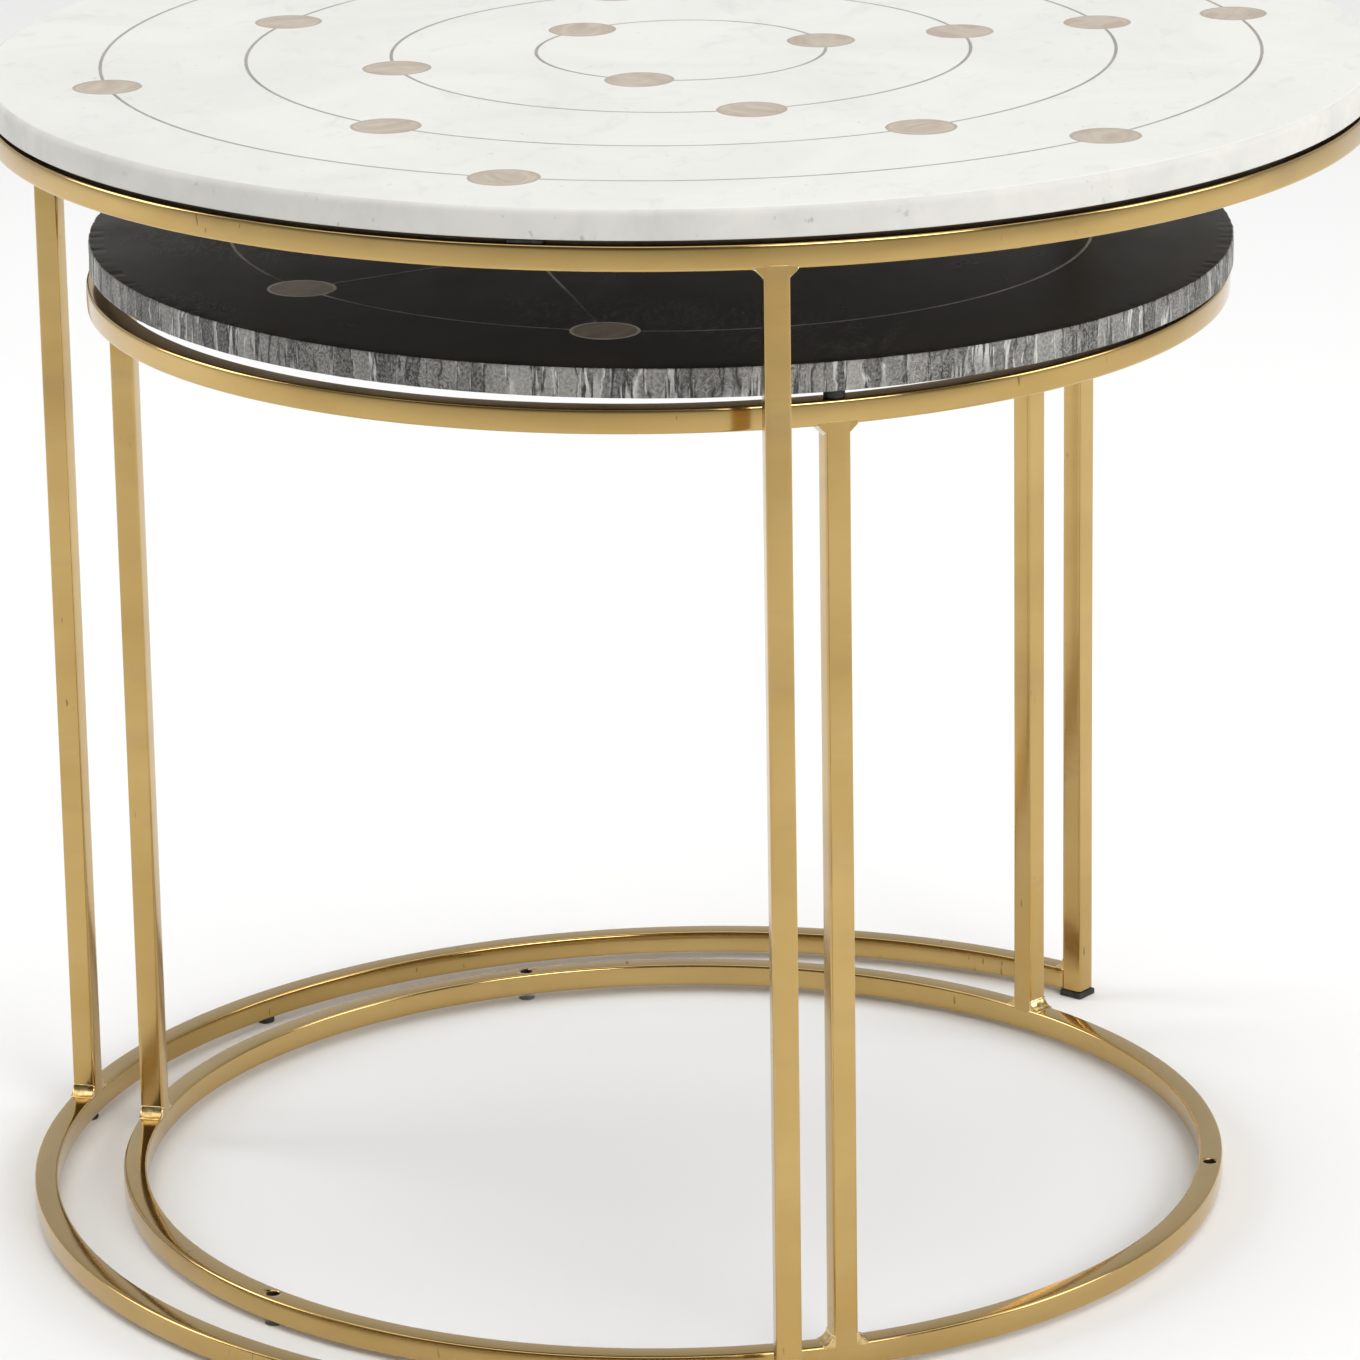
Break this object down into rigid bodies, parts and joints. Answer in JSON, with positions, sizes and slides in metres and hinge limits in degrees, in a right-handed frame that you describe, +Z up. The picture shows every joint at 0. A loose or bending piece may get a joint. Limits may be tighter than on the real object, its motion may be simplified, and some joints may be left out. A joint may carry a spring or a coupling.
{
  "type": "nesting tables",
  "caption": "Pair of round nesting tables: welded square-bar frames with marble tops inlaid with metal rings and discs; the low table slides out from under the tall one.",
  "frame": {"origin": "on the floor, at the vertical axis of the tall table", "axes": "+Z up; the low table slides out towards -Y, so -Y is the front; the tall table's back leg is at +Y, and +X is to the right seen from the front"},
  "size_m": [0.61, 0.61, 0.5277],
  "materials": {
    "white_marble": "honed white marble with faint grey marks",
    "black_marble": "honed black marble top with a rough-split grey edge",
    "inlay_metal": "pale brushed brass inlay, ground flush",
    "frame_metal": "brushed antique-brass plating on steel bar",
    "black_rubber": "matte black rubber",
    "white_nylon": "milky nylon glide"
  },
  "bodies": {
    "tall_frame": {"tall_top_ring": "frame_metal", "tall_back_leg": "frame_metal", "tall_left_leg": "frame_metal", "tall_right_leg": "frame_metal", "tall_base_arc": "frame_metal", "tall_welds": "frame_metal", "tall_slab_pads": "black_rubber", "tall_leg_pads": "black_rubber", "tall_arc_feet": "black_rubber"},
    "white_top": {"white_marble_top": "white_marble", "white_inlay_ring_1": "inlay_metal", "white_inlay_ring_2": "inlay_metal", "white_inlay_ring_3": "inlay_metal", "white_inlay_ring_4": "inlay_metal", "white_inlay_discs_1": "inlay_metal", "white_inlay_discs_2": "inlay_metal", "white_inlay_discs_3": "inlay_metal", "white_inlay_discs_4": "inlay_metal"},
    "low_frame": {"low_top_ring": "frame_metal", "low_back_leg": "frame_metal", "low_left_leg": "frame_metal", "low_right_leg": "frame_metal", "low_base_ring": "frame_metal", "low_welds": "frame_metal", "low_slab_pads": "black_rubber", "low_glides": "white_nylon"},
    "black_top": {"black_marble_top": "black_marble", "black_inlay_outer_ring": "inlay_metal", "black_inlay_inner_ring": "inlay_metal", "black_inlay_lines": "inlay_metal", "black_inlay_discs": "inlay_metal"}
  },
  "joints": [
    {"name": "low_table_slide", "type": "slide", "parent": "tall_frame", "child": "low_frame", "axis": [0, -1, 0], "range_m": [-0.02, 0.6]},
    {"name": "white_top_lift", "type": "slide", "parent": "tall_frame", "child": "white_top", "axis": [0, 0, 1], "range_m": [0, 0.05]},
    {"name": "black_top_lift", "type": "slide", "parent": "low_frame", "child": "black_top", "axis": [0, 0, 1], "range_m": [0, 0.04]}
  ]
}
